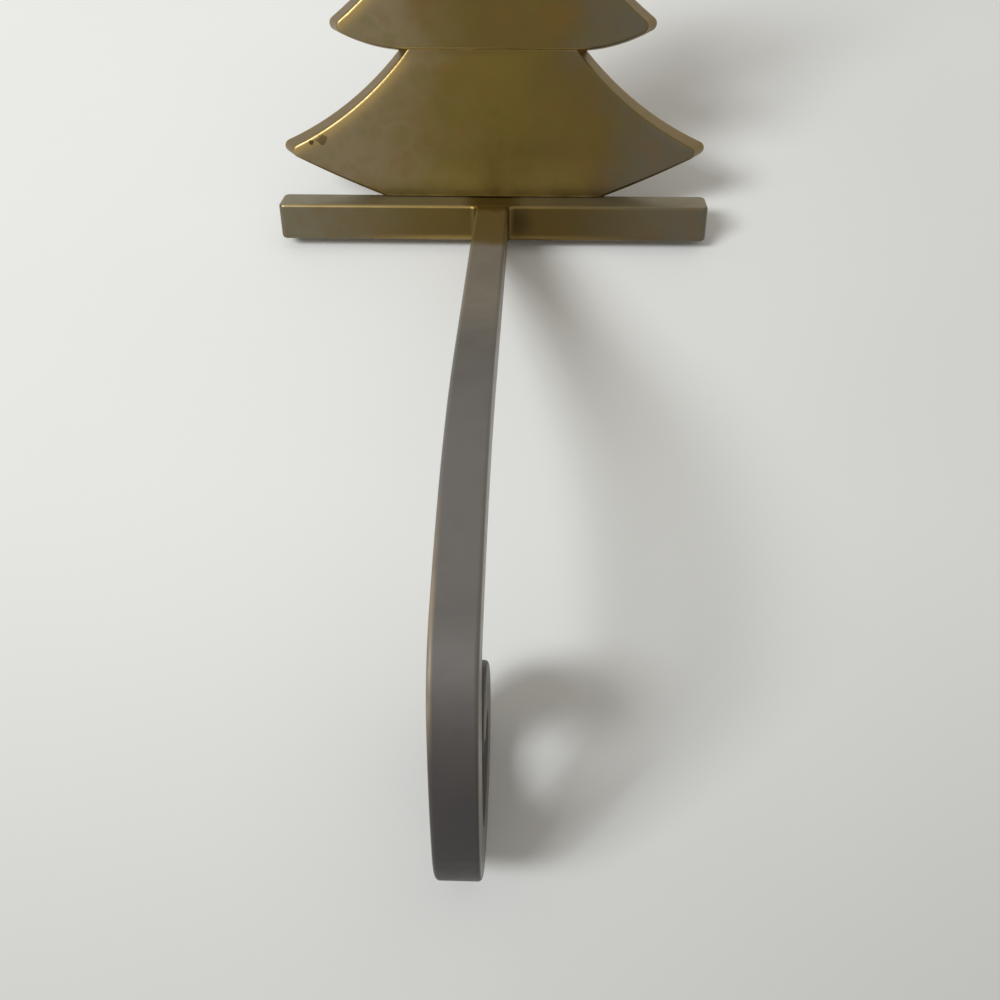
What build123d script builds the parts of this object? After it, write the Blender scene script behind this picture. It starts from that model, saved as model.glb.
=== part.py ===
from build123d import *
import os

# Mantel stocking holder: a cast crossbar with a scroll hook in front, and a cast fir tree standing on it.
# +Z is up, the front is -Y, and the origin is the middle of the crossbar's underside. Millimetres.

# Crossbar
bar_length = 108.0
bar_depth = 8.6
bar_height = 9.0
bar_corner = 1.5
edge_round = 0.8

# Arm and scroll: radii of the band's outer side in order from the bar, each with the angle it turns through
arm_width = 8.0
arm_straight = 81.0
arm_root_round = 1.5
bow_radius, bow_turn = 135.0, 26.0
shoulder_radius, shoulder_turn = 20.0, 50.0
front_radius, front_turn = 100.0, 16.0
loop_radius, loop_turn = 17.5, 98.0
heel_radius, heel_turn = 34.0, 20.0
curl_radius, curl_turn = 15.5, 165.0

# Tree: its thickness, the lip over the crossbar's top, and the draft and rounding of its sides
tree_thickness = 5.0
tree_lip = 1.9
tree_draft = 15.5
seam = 0.25
tip_round = 1.8
face_round = 0.8
tier_step = 0.45
tier_overlap = 3.3

# Tiers: half widths of hem and tip, rises above the tier's own hem, and how far the edges bow out or in
low_hem_half, low_hem_drop = 26.3, 1.8
low_tip_half, low_tip_rise = 55.3, 13.3
low_hem_bulge, low_edge_hollow = 0.5, 2.95
low_rise = 36.0
middle_hem_half = 20.1
middle_tip_half, middle_tip_rise = 40.4, 6.1
middle_hem_bulge, middle_edge_hollow = 1.5, 1.65
middle_rise = 29.5
top_hem_half = 14.0
top_tip_half, top_tip_rise = 27.6, 5.7
top_hem_bulge, top_edge_hollow = 1.3, 2.0
top_rise = 41.3

# Tongue of the tree behind the crossbar, and the two screws that hold it
tongue_width = 40.0
tongue_base = 2.8
tongue_corner = 2.0
screw_spacing = 26.0
screw_diameter = 2.5
screw_head_diameter = 4.7
screw_length = 8.0
screw_sink = 0.1
screw_clearance = 0.2
slot_width, slot_depth = 0.7, 0.6

bar_front = -bar_depth / 2
bar_back = bar_depth / 2
arm_end = bar_front - arm_straight
tree_face = bar_back - tree_lip
tree_back = tree_face + tree_thickness
tongue_thickness = tree_thickness - tree_lip
low_base = bar_height - low_hem_drop
middle_base = low_base + low_rise
top_base = middle_base + middle_rise
back_plane = Plane(origin=(0, tree_back, 0), x_dir=(1, 0, 0), z_dir=(0, -1, 0))
screw_plane = Plane(origin=(0, tree_back, (tongue_base + bar_height) / 2), x_dir=(-1, 0, 0), z_dir=(0, 1, 0))
head_height = (screw_head_diameter - screw_diameter) / 2
hole_radius = (screw_diameter + screw_clearance) / 2
hole_depth = screw_length + screw_sink + screw_clearance

os.makedirs("parts", exist_ok=True)


def scroll_side(inset):
    """One side of the scroll's band, from the arm's end to the tip; returns where it stops and which way it points."""
    place, heading = (arm_end, bar_height - inset), (-1, 0)
    for radius, turn in (
        (bow_radius, bow_turn),
        (shoulder_radius, shoulder_turn),
        (front_radius, front_turn),
        (loop_radius, loop_turn),
        (heel_radius, heel_turn),
        (curl_radius, curl_turn),
    ):
        arc = JernArc(start=place, tangent=heading, radius=radius - inset, arc_size=turn)
        place, heading = arc @ 1, arc % 1
    return place, heading


def tier(base, hem_half, tip_half, tip_rise, neck_half, neck_rise, bulge, hollow):
    """One drafted tier of the tree; its face leans, so that its hem stands proud of the tier below."""
    neck = base + neck_rise
    with BuildPart(mode=Mode.PRIVATE) as layer:
        with BuildSketch(back_plane):
            with BuildLine():
                hem = Line((0, base), (hem_half, base))
                under = SagittaArc(hem @ 1, (tip_half, base + tip_rise), -bulge)
                upper = SagittaArc(under @ 1, (neck_half, neck), hollow)
                if neck_half > 0:
                    Line(upper @ 1, (0, neck))
                mirror(about=Plane.YZ)
            make_face()
        extrude(amount=tree_thickness, taper=tree_draft)
        columns = layer.edges().group_by(Axis.X)
        ridges = columns[0] + columns[-1]
        if neck_half == 0:
            ridges += layer.edges().sort_by(Axis.Z)[-1:]
        fillet(ridges, tip_round)
        with BuildSketch(Plane.YZ):
            with BuildLine():
                Polyline(
                    (tree_face, base),
                    (tree_face + tier_step, neck),
                    (tree_face - tier_step, neck),
                    close=True,
                )
            make_face()
        extrude(amount=tip_half, both=True, mode=Mode.SUBTRACT)
        fillet(layer.faces().sort_by(Axis.Y)[0].edges(), face_round)
    return layer.part


# Scroll: a flat band drawn from the side, with softened edges, that carries on from the straight arm
with BuildPart() as scroll:
    with BuildSketch(Plane.YZ):
        with BuildLine():
            outer_tip, outer_heading = scroll_side(0)
            inner_tip, inner_heading = scroll_side(bar_height)
            TangentArc(outer_tip, inner_tip, tangent=outer_heading)
            Line((arm_end, bar_height), (arm_end, 0))
        make_face()
    extrude(amount=arm_width / 2, both=True)
    fillet(scroll.faces().filter_by(Axis.X).edges() - scroll.faces().sort_by(Axis.Y)[-1].edges(), edge_round)

# Crossbar, arm and scroll hook: one casting, with holes for the screws in the bar's back
with BuildPart() as hook_base:
    with BuildSketch() as plan:
        Rectangle(bar_length, bar_depth)
        Rectangle(arm_width, arm_straight + bar_depth / 2, align=(Align.CENTER, Align.MAX))
        fillet(plan.vertices().group_by(Axis.Y)[1].sort_by(Axis.X)[1:3], arm_root_round)
        ends = plan.vertices().group_by(Axis.X)
        fillet(ends[0] + ends[-1], bar_corner)
    extrude(amount=bar_height)
    fillet(hook_base.faces().filter_by(Axis.Z).edges() - hook_base.faces().sort_by(Axis.Y)[0].edges(), edge_round)
    add(scroll.part)
    with Locations(screw_plane.offset(-tongue_thickness)):
        with GridLocations(screw_spacing, 0, 2, 1):
            Hole(radius=hole_radius, depth=hole_depth - tongue_thickness)
hook_base.part.label = "hook_base"
export_step(hook_base.part, "parts/hook_base.step")

# Fir tree: three tiers in one casting, with a lip over the crossbar's top and a tongue behind it
with BuildPart() as tree_figure:
    add(
        tier(
            base=low_base,
            hem_half=low_hem_half,
            tip_half=low_tip_half,
            tip_rise=low_tip_rise,
            neck_half=middle_hem_half,
            neck_rise=low_rise + tier_overlap,
            bulge=low_hem_bulge,
            hollow=low_edge_hollow,
        )
    )
    add(
        tier(
            base=middle_base,
            hem_half=middle_hem_half,
            tip_half=middle_tip_half,
            tip_rise=middle_tip_rise,
            neck_half=top_hem_half,
            neck_rise=middle_rise + tier_overlap,
            bulge=middle_hem_bulge,
            hollow=middle_edge_hollow,
        )
    )
    add(
        tier(
            base=top_base,
            hem_half=top_hem_half,
            tip_half=top_tip_half,
            tip_rise=top_tip_rise,
            neck_half=0,
            neck_rise=top_rise,
            bulge=top_hem_bulge,
            hollow=top_edge_hollow,
        )
    )
    with Locations((0, bar_back, bar_height + seam)):
        Box(bar_length, bar_depth, bar_height, align=(Align.CENTER, Align.MAX, Align.MAX), mode=Mode.SUBTRACT)
    with BuildSketch(back_plane) as tongue:
        with Locations((0, tongue_base)):
            Rectangle(tongue_width, bar_height + seam - tongue_base, align=(Align.CENTER, Align.MIN))
        fillet(tongue.vertices().group_by(Axis.Y)[0], tongue_corner)
    extrude(amount=tongue_thickness)
    with Locations(screw_plane):
        with GridLocations(screw_spacing, 0, 2, 1):
            CounterSinkHole(
                radius=hole_radius,
                counter_sink_radius=screw_head_diameter / 2 + screw_sink,
                counter_sink_angle=90,
                depth=tree_thickness,
            )
tree_figure.part.label = "tree_figure"
export_step(tree_figure.part, "parts/tree_figure.step")

# Slotted countersunk screws, from behind through the tongue into the crossbar
for screw_name, side in (("left_screw", 1), ("right_screw", -1)):
    with BuildPart() as screw:
        with Locations(screw_plane.offset(-screw_sink)):
            with Locations((side * screw_spacing / 2, 0)):
                Cylinder(screw_diameter / 2, screw_length, align=(Align.CENTER, Align.CENTER, Align.MAX))
                Cone(
                    screw_diameter / 2,
                    screw_head_diameter / 2,
                    head_height,
                    align=(Align.CENTER, Align.CENTER, Align.MAX),
                )
                Box(slot_width, screw_head_diameter, 2 * slot_depth, mode=Mode.SUBTRACT)
    screw.part.label = screw_name
    export_step(screw.part, f"parts/{screw_name}.step")
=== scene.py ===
"""Aged cast brass, a pale table, soft light and a camera for a mantel stocking holder."""

import math

import bpy
from mathutils import Matrix, Vector


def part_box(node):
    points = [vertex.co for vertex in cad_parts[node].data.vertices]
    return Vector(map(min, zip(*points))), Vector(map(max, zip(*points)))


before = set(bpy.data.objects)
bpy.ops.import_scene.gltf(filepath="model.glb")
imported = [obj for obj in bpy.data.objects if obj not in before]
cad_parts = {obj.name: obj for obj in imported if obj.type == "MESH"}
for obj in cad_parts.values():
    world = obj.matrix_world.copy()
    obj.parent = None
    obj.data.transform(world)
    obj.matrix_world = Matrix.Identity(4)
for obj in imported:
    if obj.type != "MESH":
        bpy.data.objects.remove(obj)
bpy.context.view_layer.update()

bl_info = {
    "name": "Mantel stocking holder",
    "version": (1, 0, 0),
    "blender": (4, 5, 0),
    "location": "View3D > Sidebar > Holder",
    "description": "Dresses a cast brass stocking holder and sets its table, light and camera",
    "category": "Object",
}

MM = 0.001

# Places on the part, in its own frame, whose origin is the middle of the bar's underside
BAR_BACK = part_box("hook_base")[1].y
BAR_FRONT = -BAR_BACK
BAR_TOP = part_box("hook_base")[1].z
BACK_EDGE = Vector((0, BAR_BACK, 0))
CURL_MIDDLE = (0, -130 * MM, -46 * MM)
TREE_FACE = 2.4 * MM
SECOND_HEM = 43.2 * MM
SCREW_MIDDLE = sum(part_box("right_screw"), Vector()) / 2

# What lies further than this in front of the bar's back is the hook or the arm's far end
HOOK_DISTANCE = 100 * MM

# The direction that the tree's upper left edges face, up and left towards the lamps
TOWARDS_LAMPS = (-0.8, 0, 0.6)

# Each lamp's name, how far left and how far down the table it stands for 1 of height, and its watts
LAMPS = (("high_lamp", 0.61, 0.47, 47), ("low_lamp", 0.98, 0.47, 56))

# How far down the table from the bar's back edge the lamps point
LAMP_AIM = 60 * MM

# Radians that Blender's wave texture turns through in one unit at a scale of 1
WAVE_TURN = 20


def linear(code):
    """Linear colour of an sRGB hex value."""
    parts = [int(code[i:i + 2], 16) / 255 for i in (1, 3, 5)]
    return tuple(c / 12.92 if c <= 0.04045 else ((c + 0.055) / 1.055) ** 2.4 for c in parts)


def tone(name, code, what):
    """A colour that a user may change."""
    return bpy.props.FloatVectorProperty(
        name=name, description=what, subtype="COLOR", size=3, min=0, max=1, default=linear(code))


def length(name, millimetres, what):
    """A length that a user may change."""
    return bpy.props.FloatProperty(
        name=name, description=what, subtype="DISTANCE", unit="LENGTH", min=0, default=millimetres * MM)


def share(name, value, what):
    """A number from 0 to 1 that a user may change."""
    return bpy.props.FloatProperty(name=name, description=what, subtype="FACTOR", min=0, max=1, default=value)


def angle(name, degrees, what):
    """An angle that a user may change."""
    return bpy.props.FloatProperty(
        name=name, description=what, subtype="ANGLE", unit="ROTATION", default=math.radians(degrees))


def resting_slope():
    """Slope, in degrees, of the table that touches the bar's back edge and the hook's underside."""
    points = [v.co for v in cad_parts["hook_base"].data.vertices]
    hook = [p for p in points if p.y < BAR_BACK - HOOK_DISTANCE]
    return math.degrees(max(math.atan2(-p.z, BAR_BACK - p.y) for p in hook))


class BrassFinish(bpy.types.PropertyGroup):
    """Colours and sizes of the aged brass."""

    brown: tone("Browned brass", "#766331", "Middle of the tree, where the brass has browned most evenly")
    olive: tone("Olive tarnish", "#85775A", "Duller brass on the left of the tree")
    # the bar's brown, and on the tree's right partly painted shade away from the lamps on the left
    umber_and_shade: tone("Umber brass", "#68572F", "Darker brass on the right of the tree and along the bar")
    foot: tone("Tree's foot", "#8C7740", "Brighter brass just over the bar")
    rust: tone("Red fleck", "#795930", "Small patches where the browning leans to red")
    moss: tone("Green fleck", "#6A6330", "Small patches where the browning leans to green")
    end: tone("Bar's end", "#77705A", "Greyed brass at the left end of the bar")
    ash: tone("Ashen brass", "#665F4F", "Greyed brass at the tree's right tips and the bar's right end")
    side: tone("Drafted sides", "#877147", "Warmer brass on the sides that slope back from the tree's face")
    dust: tone("Dusty top", "#928868", "Pale film that lies on the bar's top")
    warm: tone("Warm patina", "#8A8377", "Paler, browner film where it sets in on the arm")
    grey: tone("Grey patina", "#716D68", "Taupe film further out on the arm and on the hook")
    dark: tone("Dark patina", "#3E3A39", "Deeper film low on the hook")
    violet: tone("Violet stain", "#7E7682", "Faint violet in the arm's film")
    green: tone("Green stain", "#7B7D70", "Faint green in the arm's film")
    # a painted highlight, in worn patches, on the shoulder's left edge, which faces the lamps
    rim: tone("Worn rim", "#A89474", "Warmer film along the left edge of the arm's shoulder")
    flank: tone("Bare flank", "#888278", "Thinner film on the arm's two sides")
    # worn edge brass, and also the painted gold highlights, reflection and hem light on the tree and bar
    rubbed_and_highlight: tone("Rubbed edge", "#C7A765", "Brighter brass where hands and cloth rub the edges")
    # real dirt on the screws and in the spots, and painted shade right of the arm on the bar
    soil_and_shade: tone("Soil", "#3A2C17", "Dirt right of the arm, on the screws and in the spots on the left branch")
    screw: tone("Screw brass", "#A88A4A", "Turned screws behind the bar")
    sheen: share("Roughness", 0.36, "How far the satin surface spreads a reflection")
    grain: length("Casting grain", 0.9, "Spacing of the fine dimples that the mould leaves")
    wear: length("Wear patch", 3.5, "Spacing of the patches where edges are rubbed more and less")
    cloud: length("Tarnish cloud", 17, "Spacing of the soft patches of tarnish")
    fleck: length("Fleck", 6, "Spacing of the red and green flecks")
    stain: length("Film stain", 14, "Spacing of the violet and green stains in the arm's film")
    # how far the painted golden highlight reaches in from the upper left edges, which face the lamps
    highlight_reach: length("Golden edge", 6, "How far in from the tree's upper left edges the golden sheen reaches")
    film: length("Film", 27, "How far in front of the bar's middle the taupe film sets in")
    spot: length("Spot", 2.8, "Width of the larger dark spot on the left branch")


class Setting(bpy.types.PropertyGroup):
    """Table, light and camera."""

    table: tone("Table", "#EEEFED", "Pale matt table")
    table_side: length("Table side", 2000, "Side of the square table")
    lean: angle("Lean", resting_slope(), "Slope of the table that the bar's back edge and the hook rest on")
    lamp_tint: tone("Lamp tint", "#F8FBFF", "Colour of the two lamps")
    lamp_size: length("Lamp", 1000, "Side of the square lamps, larger for softer shadows")
    lamp_reach: length("Lamp reach", 4000, "Distance of the lamps from the part")
    fill_tint: tone("Fill tint", "#FFFAF1", "Colour of the room's light where it fills the shadows")
    fill: share("Fill", 0.45, "Strength of the room's light where it fills the shadows")
    room_tint: tone("Room tint", "#FBFBFB", "Colour of the room where it is seen or mirrored")
    room: share("Room", 0.75, "Strength of the room where it is seen or mirrored")
    lens: bpy.props.FloatProperty(
        name="Lens", description="Focal length on a 36 mm frame", subtype="DISTANCE_CAMERA", default=38.88)
    azimuth: angle("Camera azimuth", 2.19, "Turn of the camera towards the right end of the bar")
    elevation: angle("Camera elevation", 34.6, "How far the camera looks down")
    roll: angle("Camera roll", 0.33, "Turn of the camera about its own line of sight")
    place: bpy.props.FloatVectorProperty(
        name="Camera place", description="Where the camera stands", subtype="TRANSLATION", unit="LENGTH",
        default=(11.7 * MM, -268.4 * MM, 101.99 * MM))


def add(tree, kind, sockets=None, **settings):
    """Adds one node with its settings, and fills its sockets from values or from other nodes' outputs."""
    node = tree.nodes.new("ShaderNode" + kind)
    for key, value in settings.items():
        setattr(node, key, value)
    for socket, value in (sockets or {}).items():
        if isinstance(value, bpy.types.NodeSocket):
            tree.links.new(value, node.inputs[socket])
        else:
            node.inputs[socket].default_value = value
    return node


def rgba(colour):
    """Four numbers of a colour property."""
    return (*colour, 1.0)


def blank(name):
    """A new material with only its output, and the output's surface."""
    material = bpy.data.materials.new(name)
    material.use_nodes = True
    material.node_tree.nodes.clear()
    output = add(material.node_tree, "OutputMaterial")
    return material, material.node_tree, output.inputs["Surface"]


def dress(node, material):
    """Gives a CAD node one material."""
    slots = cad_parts[node].material_slots
    if not slots:
        raise RuntimeError(node + " has no material slot")
    for slot in slots:
        slot.material = material


def coat(tree, colour, tint, *masks, blend="MIX"):
    """Lays a tint over a colour where all the masks overlap."""
    amount = masks[0]
    for mask in masks[1:]:
        amount = add(tree, "Math", {0: amount, 1: mask}, operation="MULTIPLY").outputs["Value"]
    laid = add(tree, "Mix", {0: amount, 6: colour, 7: rgba(tint)}, data_type="RGBA", blend_type=blend)
    return laid.outputs[2]


def tarnish_patterns(tree, finish, place):
    """Soft clouds and small flecks of tarnish, which the two castings share."""
    clouds = add(tree, "TexNoise", {
        "Vector": place, "Scale": 1 / finish.cloud, "Detail": 4, "Roughness": 0.55}).outputs["Fac"]
    flecks = add(tree, "TexNoise", {
        "Vector": place, "Scale": 1 / finish.fleck, "Detail": 3, "Roughness": 0.5}).outputs["Fac"]
    return clouds, flecks


def cast_skin(tree, finish, colour, place):
    """Satin brass skin over a given colour: worn bright edges, fine casting dimples and uneven gloss."""
    # an edge is where the surface's normal and the same normal rounded over 1 mm part company
    flat = add(tree, "NewGeometry").outputs["Normal"]
    rounded = add(tree, "Bevel", {"Radius": 1 * MM}, samples=6).outputs["Normal"]
    agree = add(tree, "VectorMath", {0: flat, 1: rounded}, operation="DOT_PRODUCT").outputs["Value"]
    edge = add(tree, "MapRange", {"Value": agree, "From Min": 0.985, "From Max": 0.86},
               interpolation_type="SMOOTHSTEP").outputs["Result"]
    # the edges are worn bright in patches, and the gloss varies with them
    patches = add(tree, "TexNoise", {
        "Vector": place, "Scale": 1 / finish.wear, "Detail": 3, "Roughness": 0.6}).outputs["Fac"]
    worn, gloss = (
        add(tree, "MapRange", {
            "Value": patches, "From Min": 0.3, "From Max": 0.7, "To Min": least, "To Max": most,
        }).outputs["Result"]
        for least, most in ((0.15, 0.6), (finish.sheen - 0.05, finish.sheen + 0.07)))
    dimples = add(tree, "TexNoise", {
        "Vector": place, "Scale": 1 / finish.grain, "Detail": 2, "Roughness": 0.5}).outputs["Fac"]
    nicked = add(tree, "MapRange", {"Value": edge, "To Min": 0.25, "To Max": 0.9}).outputs["Result"]
    bump = add(tree, "Bump", {"Height": dimples, "Strength": nicked, "Distance": 0.05 * MM})
    return add(tree, "BsdfPrincipled", {
        "Base Color": coat(tree, colour, finish.rubbed_and_highlight, edge, worn), "Metallic": 1.0, "Roughness": gloss,
        "Normal": bump.outputs["Normal"]})


def tree_tarnish(tree, finish, place, normal, front):
    """The tree's broad colours, with painted shade on its right, before its edges are worn bright."""
    x, _, z = add(tree, "SeparateXYZ", {"Vector": place}).outputs
    clouds, flecks = tarnish_patterns(tree, finish, place)
    # the half width falls from 55 mm at 18 mm up towards 6 mm at 118 mm, so this is about -1 to 1 across
    width = add(tree, "MapRange", {
        "Value": z, "From Min": 18 * MM, "From Max": 118 * MM, "To Min": 55 * MM, "To Max": 6 * MM})
    across = add(tree, "Math", {0: x, 1: width.outputs["Result"]}, operation="DIVIDE").outputs["Value"]
    across = add(tree, "Math", {0: clouds, 1: 0.7, 2: across}, operation="MULTIPLY_ADD").outputs["Value"]
    facing = add(tree, "Math", {0: normal["Y"]}, operation="ABSOLUTE").outputs["Value"]
    # each mask grows from nothing at its start to its most at its stop
    masks = {}
    for name, value, start, stop, most, kind in (
        ("dull", across, 0.3, -0.4, 1.0, "SMOOTHSTEP"),
        # the right of the tree: partly painted shade away from the lamps on the left
        ("dark", across, 0.35, 0.95, 1.0, "SMOOTHSTEP"),
        ("right_tips", across, 0.7, 1.2, 1.0, "SMOOTHSTEP"),
        ("over_hem", z, SECOND_HEM - 0.7 * MM, SECOND_HEM + 1.3 * MM, 0.75, "LINEAR"),
        ("foot", z, 21 * MM, 11 * MM, 0.8, "SMOOTHSTEP"),
        ("side", facing, 0.75, 0.5, 0.7, "LINEAR"),
        ("red", flecks, 0.5, 0.72, 0.3, "SMOOTHSTEP"),
        ("green", flecks, 0.5, 0.28, 0.3, "SMOOTHSTEP"),
    ):
        masks[name] = add(tree, "MapRange", {
            "Value": value, "From Min": start, "From Max": stop, "To Max": most},
            interpolation_type=kind).outputs["Result"]
    # on the right this umber is partly painted shade
    # umber on the right and above the second hem; neither it nor the bright foot covers the dull left
    masks["dark"] = add(
        tree, "Math", {0: masks["dark"], 1: masks["over_hem"]}, operation="MAXIMUM").outputs["Value"]
    masks["not_dull"] = add(
        tree, "MapRange", {"Value": masks["dull"], "To Min": 1.0, "To Max": 0.0}).outputs["Result"]
    # the right tips are ashen on the face, and hardly so on the sides
    masks["mostly_front"] = add(tree, "MapRange", {"Value": front, "To Min": 0.15}).outputs["Result"]
    colour = rgba(finish.brown)
    for tint, *names in (
        (finish.olive, "dull"),
        (finish.foot, "foot", "not_dull"),
        (finish.umber_and_shade, "dark", "not_dull"),
        (finish.ash, "right_tips", "mostly_front"),
        (finish.side, "side"),
        (finish.rust, "red"),
        (finish.moss, "green"),
    ):
        colour = coat(tree, colour, tint, *(masks[name] for name in names))
    return colour


def tree_edges(tree, finish, place, normal, front, colour):
    """Painted golden highlight beside the tree's upper left edges, and painted light along its two inner
    hems, over a given colour.
    """
    # a painted golden highlight beside the upper left edges, which face the lamps: there the normal, rounded
    # over far, tips up and left
    tipped = add(tree, "Bevel", {"Radius": finish.highlight_reach}, samples=8).outputs["Normal"]
    lamp_facing = add(tree, "VectorMath", {0: tipped, 1: TOWARDS_LAMPS}, operation="DOT_PRODUCT").outputs["Value"]
    beside = add(tree, "MapRange", {"Value": lamp_facing, "From Min": 0.02, "From Max": 0.42, "To Max": 0.6},
                 interpolation_type="SMOOTHSTEP").outputs["Result"]
    colour = coat(tree, colour, finish.rubbed_and_highlight, beside, front)
    # painted light along the rounded lower edge of the two inner hems lightens the shade in each step, so
    # each step reads softly
    x, _, z = add(tree, "SeparateXYZ", {"Vector": place}).outputs
    out = add(tree, "Math", {0: x}, operation="ABSOLUTE").outputs["Value"]
    hem_light = [
        add(tree, "MapRange", {
            "Value": value, "From Min": start, "From Max": stop, "To Max": most}).outputs["Result"]
        for value, start, stop, most in (
            (normal["Z"], -0.12, -0.5, 0.5),
            (normal["Y"], -0.1, -0.3, 1.0),
            (z, SECOND_HEM - 3.2 * MM, SECOND_HEM - 0.7 * MM, 1.0),
            (out, 24 * MM, 21 * MM, 1.0),
        )
    ]
    return coat(tree, colour, finish.rubbed_and_highlight, *hem_light)


def tree_spots(tree, finish, place, colour):
    """An old dark spot on the left branch, ragged at its rim, with a smaller one beside it."""
    ragged = add(tree, "TexNoise", {"Vector": place, "Scale": 1 / (1.1 * MM), "Detail": 3}).outputs["Fac"]
    for x, z, wide, depth in (
        (-42.6 * MM, 23.2 * MM, finish.spot, 0.6),
        (-45.2 * MM, 22.6 * MM, 0.45 * finish.spot, 0.85),
    ):
        middle = (x, TREE_FACE, z)
        away = add(tree, "VectorMath", {0: place, 1: middle}, operation="DISTANCE").outputs["Value"]
        torn = add(tree, "Math", {0: ragged, 1: wide, 2: away}, operation="MULTIPLY_ADD").outputs["Value"]
        mark = add(tree, "MapRange", {
            "Value": torn, "From Min": 1.05 * wide, "From Max": 0.85 * wide, "To Max": depth},
            interpolation_type="SMOOTHSTEP").outputs["Result"]
        colour = coat(tree, colour, finish.soil_and_shade, mark)
    return colour


class HOLDER_OT_tree(bpy.types.Operator):
    """Gives the tree its browned cast brass"""

    bl_idname = "holder.tree"
    bl_label = "Dress the tree"

    def execute(self, context):
        finish = context.scene.brass_finish
        # Sand-cast brass, polished once and left to brown: golden brown in the middle of the face, dull and
        # olive on the left, umber and ashen on the right with painted shade there, in soft clouds, with gold
        # along the worn edges and a painted golden highlight beside the upper left ones.
        material, tree, surface = blank("browned_cast_brass")
        place = add(tree, "TexCoord").outputs["Object"]
        normal = add(tree, "SeparateXYZ", {"Vector": add(tree, "NewGeometry").outputs["Normal"]}).outputs
        front = add(tree, "MapRange", {
            "Value": normal["Y"], "From Min": -0.75, "From Max": -0.95}).outputs["Result"]
        colour = tree_tarnish(tree, finish, place, normal, front)
        colour = tree_edges(tree, finish, place, normal, front, colour)
        colour = tree_spots(tree, finish, place, colour)
        tree.links.new(cast_skin(tree, finish, colour, place).outputs["BSDF"], surface)
        dress("tree_figure", material)
        return {"FINISHED"}


def bar_tarnish(tree, finish, place, normal, clouds, flecks):
    """The bar's colours, and how far dust covers it."""
    x, y, z = add(tree, "SeparateXYZ", {"Vector": place}).outputs
    out = add(tree, "Math", {0: x}, operation="ABSOLUTE").outputs["Value"]
    along = add(tree, "Math", {0: clouds, 1: 20 * MM, 2: x}, operation="MULTIPLY_ADD").outputs["Value"]
    # painted shade darkens the nook between the arm's right side and the bar's front
    shaded_nook = (6 * MM, BAR_FRONT, BAR_TOP / 2)
    from_nook = add(tree, "VectorMath", {0: place, 1: shaded_nook}, operation="DISTANCE").outputs["Value"]
    # on the bar, z less y is greatest along the upper front edge
    up_front = add(tree, "Math", {0: z, 1: y}, operation="SUBTRACT").outputs["Value"]
    front_edge = BAR_TOP - BAR_FRONT
    # each mask grows from nothing at its start to its most at its stop
    masks = {}
    for name, value, start, stop, most, kind in (
        ("left_end", along, -5 * MM, -40 * MM, 1.0, "SMOOTHSTEP"),
        ("right_end", along, 25 * MM, 62 * MM, 1.0, "SMOOTHSTEP"),
        ("red", flecks, 0.48, 0.75, 0.4, "LINEAR"),
        ("upward", normal["Z"], 0.6, 0.98, 0.6, "SMOOTHSTEP"),
        ("clear_of_arm", out, 3 * MM, 9 * MM, 1.0, "SMOOTHSTEP"),
        ("bar", y, BAR_FRONT - 0.4 * MM, BAR_FRONT, 1.0, "LINEAR"),
        ("near_front", y, BAR_FRONT + 1.8 * MM, BAR_FRONT + 0.8 * MM, 1.0, "LINEAR"),
        ("upper_edge", up_front, front_edge - 0.7 * MM, front_edge - 0.5 * MM, 1.0, "LINEAR"),
        ("lower_edge", z, 1.7 * MM, 0.7 * MM, 1.0, "LINEAR"),
        ("highlight_leftward", x, 35 * MM, -10 * MM, 0.35, "LINEAR"),
        ("reflection_inward", out, 36 * MM, 14 * MM, 0.42, "LINEAR"),
        ("shaded_nook", from_nook, 6 * MM, 1 * MM, 0.6, "SMOOTHSTEP"),
        ("right_of_arm", x, 3 * MM, 6 * MM, 1.0, "LINEAR"),
        ("arm_shade", x, 45 * MM, 20 * MM, 0.3, "SMOOTHSTEP"),
    ):
        masks[name] = add(tree, "MapRange", {
            "Value": value, "From Min": start, "From Max": stop, "To Max": most},
            interpolation_type=kind).outputs["Result"]
    dusty = add(tree, "Math", {0: masks["upward"], 1: masks["clear_of_arm"]}, operation="MULTIPLY")
    masks["dusty"] = dusty.outputs["Value"]
    # brown, greyer at both ends, with dust on top; the front has a painted gold highlight along its upper
    # edge and, towards the arm, a painted gold reflection of the table along its lower one, and painted shade
    # right of the arm
    colour = rgba(finish.umber_and_shade)
    for tint, *names in (
        (finish.end, "left_end"),
        (finish.ash, "right_end"),
        (finish.rust, "red"),
        (finish.dust, "dusty"),
        # painted gold highlight along the upper front edge, strongest towards the lamps on the left
        (finish.rubbed_and_highlight, "upper_edge", "highlight_leftward", "bar"),
        # painted gold reflection of the table along the lower front edge, towards the arm
        (finish.rubbed_and_highlight, "lower_edge", "reflection_inward", "bar", "near_front"),
        # painted shade in the nook and on the bar's front right of the arm, where the arm's shadow falls
        (finish.soil_and_shade, "shaded_nook", "bar"),
        (finish.soil_and_shade, "right_of_arm", "arm_shade", "bar"),
    ):
        colour = coat(tree, colour, tint, *(masks[name] for name in names))
    return colour, masks["dusty"]


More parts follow.
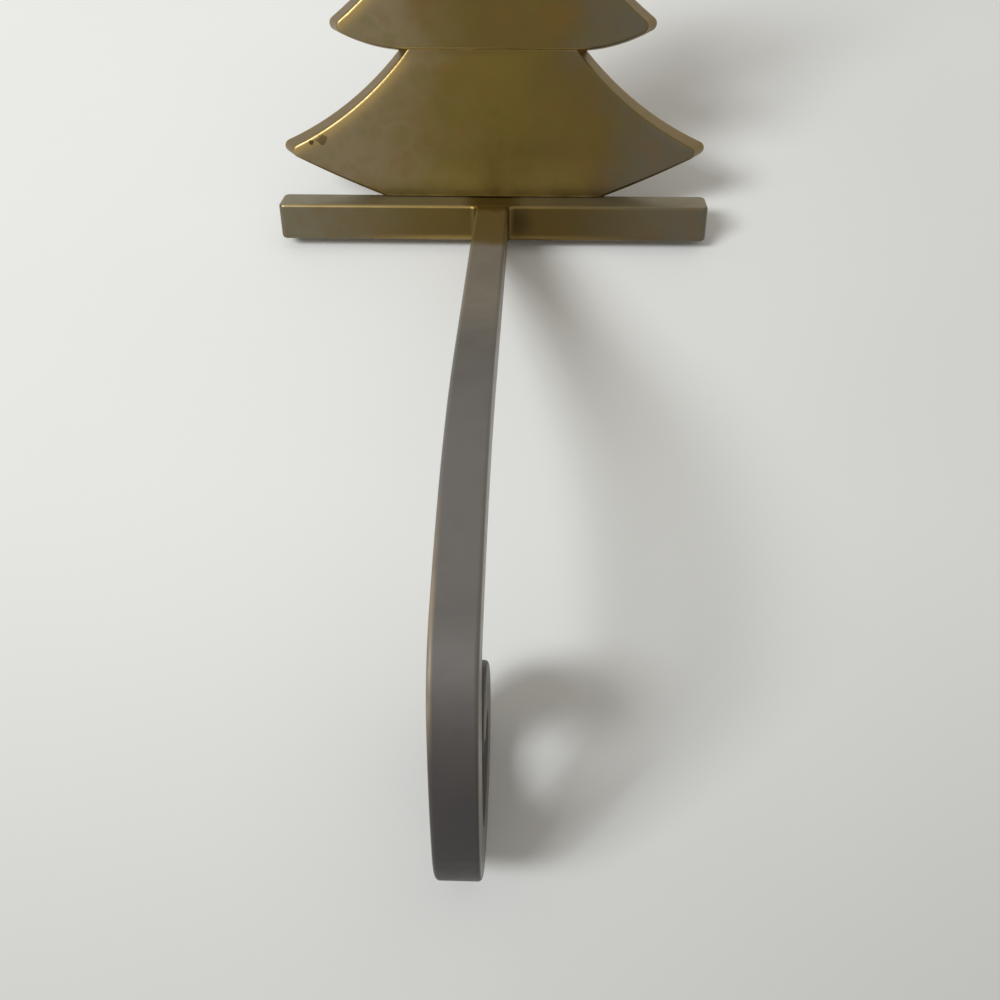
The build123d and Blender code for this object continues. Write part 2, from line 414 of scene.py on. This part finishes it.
def arm_film(tree, finish, place, normal, clouds, flecks, colour):
    """The colours of the arm and the hook over a given colour, and how far film covers them."""
    x, y, z = add(tree, "SeparateXYZ", {"Vector": place}).outputs
    ahead = add(tree, "Math", {0: flecks, 1: 6 * MM, 2: y}, operation="MULTIPLY_ADD").outputs["Value"]
    height = add(tree, "Math", {0: clouds, 1: 12 * MM, 2: z}, operation="MULTIPLY_ADD").outputs["Value"]
    stains = add(tree, "TexNoise", {"Vector": place, "Scale": 1 / finish.stain, "Detail": 2}).outputs["Fac"]
    aside = add(tree, "Math", {0: normal["X"]}, operation="ABSOLUTE").outputs["Value"]
    away = add(tree, "VectorMath", {0: place, 1: CURL_MIDDLE}, operation="DISTANCE").outputs["Value"]
    from_curl = add(tree, "Math", {0: stains, 1: 8 * MM, 2: away}, operation="MULTIPLY_ADD").outputs["Value"]
    # each mask grows from its least at its start to its most at its stop
    masks = {}
    for name, value, start, stop, least, most, kind in (
        ("film", ahead, -2 * MM, -6 * MM, 0.0, 1.0, "SMOOTHSTEP"),
        ("taupe", ahead, 3.5 * MM - finish.film, -3.5 * MM - finish.film, 0.0, 1.0, "SMOOTHSTEP"),
        ("greyed", ahead, -55 * MM, -82 * MM, 0.0, 1.0, "SMOOTHSTEP"),
        ("deep", height, 12 * MM, -27 * MM, 0.0, 1.0, "SMOOTHSTEP"),
        ("violet", stains, 0.5, 0.7, 0.0, 0.2, "LINEAR"),
        ("green", stains, 0.5, 0.3, 0.0, 0.2, "LINEAR"),
        ("lit_left_edge", x, -2.9 * MM, -3.7 * MM, 0.0, 1.0, "LINEAR"),
        ("below_arm", z, 4 * MM, -2 * MM, 0.0, 1.0, "LINEAR"),
        ("above_hook", z, -24 * MM, -12 * MM, 0.0, 1.0, "LINEAR"),
        ("worn", flecks, 0.25, 0.6, 0.3, 0.8, "LINEAR"),
        ("aside", aside, 0.7, 0.95, 0.0, 1.0, "LINEAR"),
        ("clear_of_curl", from_curl, 21 * MM, 34 * MM, 0.6, 1.0, "SMOOTHSTEP"),
    ):
        masks[name] = add(tree, "MapRange", {
            "Value": value, "From Min": start, "From Max": stop, "To Min": least, "To Max": most},
            interpolation_type=kind).outputs["Result"]
    # the two sides are nearly bare, though the curl keeps more of its film
    flank = masks["aside"]
    for name in ("clear_of_curl", "taupe"):
        flank = add(tree, "Math", {0: flank, 1: masks[name]}, operation="MULTIPLY").outputs["Value"]
    masks["flank"] = flank
    # the film turns from brass brown through taupe to grey, darker as the hook turns down, with faint stains
    # about a finger's width across, and a warm painted highlight lies in worn patches on the shoulder's left
    # edge
    for tint, blend, *names in (
        (finish.warm, "MIX", "taupe"),
        (finish.grey, "MIX", "greyed"),
        (finish.dark, "MIX", "deep"),
        (finish.violet, "SOFT_LIGHT", "violet", "taupe"),
        (finish.green, "SOFT_LIGHT", "green", "taupe"),
        (finish.rim, "MIX", "lit_left_edge", "below_arm", "above_hook", "worn", "taupe"),
        (finish.flank, "MIX", "flank"),
    ):
        colour = coat(tree, colour, tint, *(masks[name] for name in names), blend=blend)
    film = add(tree, "Math", {0: masks["film"], 1: flank}, operation="SUBTRACT", use_clamp=True)
    return colour, film.outputs["Value"]


class HOLDER_OT_hook(bpy.types.Operator):
    """Gives the bar, the arm and the hook their brass and its grey film"""

    bl_idname = "holder.hook"
    bl_label = "Dress the bar and the hook"

    def execute(self, context):
        finish = context.scene.brass_finish
        # The same cast brass, handled less: brown on the bar, greyer at its ends, and under a thin grey-brown
        # film from a little way out along the arm, deeper where the hook turns down.
        material, tree, surface = blank("grey_filmed_cast_brass")
        place = add(tree, "TexCoord").outputs["Object"]
        normal = add(tree, "SeparateXYZ", {"Vector": add(tree, "NewGeometry").outputs["Normal"]}).outputs
        clouds, flecks = tarnish_patterns(tree, finish, place)
        colour, dusty = bar_tarnish(tree, finish, place, normal, clouds, flecks)
        colour, film = arm_film(tree, finish, place, normal, clouds, flecks, colour)
        brass = cast_skin(tree, finish, colour, place)
        # film and dust hide much of the metal and scatter what it still mirrors
        cover = add(tree, "Math", {0: film, 1: dusty}, operation="MAXIMUM").outputs["Value"]
        bare = add(tree, "MapRange", {"Value": cover, "To Min": 1.0, "To Max": 0.35}).outputs["Result"]
        polish = brass.inputs["Roughness"].links[0].from_socket
        spread = add(tree, "Math", {0: cover, 1: 0.14, 2: polish}, operation="MULTIPLY_ADD").outputs["Value"]
        tree.links.new(bare, brass.inputs["Metallic"])
        tree.links.new(spread, brass.inputs["Roughness"])
        tree.links.new(brass.outputs["BSDF"], surface)
        dress("hook_base", material)
        return {"FINISHED"}


class HOLDER_OT_screws(bpy.types.Operator):
    """Gives the two screws behind the bar their turned brass"""

    bl_idname = "holder.screws"
    bl_label = "Dress the screws"

    def execute(self, context):
        finish = context.scene.brass_finish
        # Turned brass: yellower and smoother than the castings, with rings from the cutting tool and patches
        # of dirt.
        material, tree, surface = blank("turned_screw_brass")
        place = add(tree, "TexCoord").outputs["Object"]
        x, _, z = add(tree, "SeparateXYZ", {"Vector": place}).outputs
        out = add(tree, "Math", {0: x}, operation="ABSOLUTE").outputs["Value"]
        aside = add(tree, "Math", {0: out, 1: SCREW_MIDDLE.x}, operation="SUBTRACT").outputs["Value"]
        above = add(tree, "Math", {0: z, 1: SCREW_MIDDLE.z}, operation="SUBTRACT").outputs["Value"]
        centred = add(tree, "CombineXYZ", {"X": aside, "Y": above}).outputs["Vector"]
        # tool rings, coarser than the real ones so that they show
        ring = 0.9425 * MM
        rings = add(tree, "TexWave", {
            "Vector": centred, "Scale": math.tau / WAVE_TURN / ring, "Distortion": 0.4},
            wave_type="RINGS", rings_direction="Z").outputs["Fac"]
        bump = add(tree, "Bump", {"Height": rings, "Strength": 0.2, "Distance": 0.02 * MM})
        dirt = add(tree, "TexNoise", {"Vector": place, "Scale": 1 / (1.2 * MM), "Detail": 3}).outputs["Fac"]
        soiled = add(tree, "MapRange", {
            "Value": dirt, "From Min": 0.45, "From Max": 0.7, "To Max": 0.6}).outputs["Result"]
        brass = add(tree, "BsdfPrincipled", {
            "Base Color": coat(tree, rgba(finish.screw), finish.soil_and_shade, soiled), "Metallic": 1.0,
            "Roughness": 0.3, "Normal": bump.outputs["Normal"]})
        tree.links.new(brass.outputs["BSDF"], surface)
        dress("left_screw", material)
        dress("right_screw", material)
        return {"FINISHED"}


def laminate(setting):
    """The table's material."""
    # Matt laminate: near white, with the faintest unevenness, and clear from below so that it hides nothing.
    material, tree, surface = blank("matt_white_laminate")
    place = add(tree, "TexCoord").outputs["Object"]
    x, y, _ = add(tree, "SeparateXYZ", {"Vector": place}).outputs
    haze = add(tree, "TexNoise", {"Vector": place, "Scale": 1 / (60 * MM), "Detail": 3}).outputs["Fac"]
    # darker towards the front and the right and a little lighter at the back, as the room's light falls
    fade = 1.0
    for value, start, stop, first, last, kind in (
        (y, -60 * MM, -200 * MM, 1.0, 0.75, "SMOOTHSTEP"),
        (x, -50 * MM, 130 * MM, 1.02, 0.83, "SMOOTHSTEP"),
        (y, -60 * MM, 80 * MM, 1.0, 1.05, "LINEAR"),
    ):
        step = add(tree, "MapRange", {
            "Value": value, "From Min": start, "From Max": stop, "To Min": first, "To Max": last},
            interpolation_type=kind).outputs["Result"]
        fade = add(tree, "Math", {0: fade, 1: step}, operation="MULTIPLY").outputs["Value"]
    shade = add(tree, "Math", {0: haze, 1: 0.03, 2: fade}, operation="MULTIPLY_ADD").outputs["Value"]
    colour = add(tree, "Mix", {0: 1.0, 6: rgba(setting.table), 7: shade},
                 data_type="RGBA", blend_type="MULTIPLY").outputs[2]
    matt = add(tree, "BsdfPrincipled", {"Base Color": colour, "Roughness": 0.65, "Specular IOR Level": 0.25})
    clear = add(tree, "BsdfTransparent")
    below = add(tree, "NewGeometry").outputs["Backfacing"]
    both = add(tree, "MixShader", {0: below, 1: matt.outputs["BSDF"], 2: clear.outputs["BSDF"]})
    tree.links.new(both.outputs["Shader"], surface)
    return material


def lay_table(context, setting):
    """Lays the table under the bar's back edge and the hook."""
    bpy.ops.object.select_all(action="DESELECT")
    bpy.ops.mesh.primitive_plane_add(
        size=setting.table_side, location=BACK_EDGE, rotation=(setting.lean, 0, 0))
    table = context.object
    table.name = "table_top"
    bpy.ops.object.transform_apply(location=True, rotation=True, scale=True)
    table.data.materials.append(laminate(setting))


def hang_lamps(context, setting):
    """Hangs two soft lamps on the left, one of them higher, so that each shadow is double and fades."""
    upright = Vector((0, -math.sin(setting.lean), math.cos(setting.lean)))
    down_table = Vector((0, -math.cos(setting.lean), -math.sin(setting.lean)))
    aim = BACK_EDGE + down_table * LAMP_AIM
    for name, left, ahead, watts in LAMPS:
        towards = (upright - Vector((left, 0, 0)) + down_table * ahead).normalized()
        bpy.ops.object.light_add(type="AREA", location=aim + towards * setting.lamp_reach)
        lamp = context.object
        lamp.name = name
        lamp.rotation_euler = towards.to_track_quat("Z", "Y").to_euler()
        lamp.data.shape = "SQUARE"
        lamp.data.size = setting.lamp_size
        lamp.data.energy = watts
        lamp.data.color = setting.lamp_tint


def light_room(scene, setting):
    """Fills the room with even pale light: warm where it fills the shadows, neutral where it shows."""
    world = bpy.data.worlds.new("pale_room")
    world.use_nodes = True
    scene.world = world
    tree = world.node_tree
    tree.nodes.clear()
    path = add(tree, "LightPath").outputs
    seen = path["Is Camera Ray"]
    for ray in ("Is Glossy Ray", "Is Transmission Ray"):
        seen = add(tree, "Math", {0: seen, 1: path[ray]}, operation="MAXIMUM").outputs["Value"]
    level = add(tree, "MapRange", {"Value": seen, "To Min": setting.fill, "To Max": setting.room})
    room = add(tree, "Background", {
        "Color": coat(tree, rgba(setting.fill_tint), setting.room_tint, seen),
        "Strength": level.outputs["Result"]})
    add(tree, "OutputWorld", {"Surface": room.outputs["Background"]})


def place_camera(context, setting):
    """Stands the camera where it looks down on the bar and the arm."""
    a, e, r = setting.azimuth, setting.elevation, setting.roll
    sight = Vector((-math.sin(a) * math.cos(e), math.cos(a) * math.cos(e), -math.sin(e)))
    level_right = Vector((math.cos(a), math.sin(a), 0))
    level_up = level_right.cross(sight)
    right = level_right * math.cos(r) - level_up * math.sin(r)
    up = level_right * math.sin(r) + level_up * math.cos(r)
    turn = Matrix((right, up, -sight)).transposed().to_4x4()
    bpy.ops.object.camera_add()
    camera = context.object
    camera.name = "table_camera"
    camera.matrix_world = Matrix.Translation(setting.place) @ turn
    camera.data.lens = setting.lens
    camera.data.clip_start = 10 * MM
    context.scene.camera = camera


class HOLDER_OT_stage(bpy.types.Operator):
    """Lays the part on a pale table, lights it softly and sets the camera"""

    bl_idname = "holder.stage"
    bl_label = "Set the table, light and camera"

    def execute(self, context):
        setting = context.scene.holder_setting
        lay_table(context, setting)
        hang_lamps(context, setting)
        light_room(context.scene, setting)
        place_camera(context, setting)
        context.scene.view_settings.view_transform = "Standard"
        return {"FINISHED"}


class HOLDER_PT_panel(bpy.types.Panel):
    """Lists the settings and the steps that dress the holder"""

    bl_idname = "HOLDER_PT_panel"
    bl_label = "Mantel stocking holder"
    bl_space_type = "VIEW_3D"
    bl_region_type = "UI"
    bl_category = "Holder"

    def draw(self, context):
        for settings in (context.scene.brass_finish, context.scene.holder_setting):
            box = self.layout.box()
            for name in type(settings).__annotations__:
                box.prop(settings, name)
        for step in STEPS:
            self.layout.operator(step.bl_idname)


STEPS = (HOLDER_OT_tree, HOLDER_OT_hook, HOLDER_OT_screws, HOLDER_OT_stage)
CLASSES = (BrassFinish, Setting, *STEPS, HOLDER_PT_panel)


def register():
    for cls in CLASSES:
        bpy.utils.register_class(cls)
    bpy.types.Scene.brass_finish = bpy.props.PointerProperty(type=BrassFinish)
    bpy.types.Scene.holder_setting = bpy.props.PointerProperty(type=Setting)


def unregister():
    del bpy.types.Scene.holder_setting
    del bpy.types.Scene.brass_finish
    for cls in reversed(CLASSES):
        bpy.utils.unregister_class(cls)


def main():
    register()
    bpy.ops.holder.tree()
    bpy.ops.holder.hook()
    bpy.ops.holder.screws()
    bpy.ops.holder.stage()


if __name__ == "__main__":
    main()
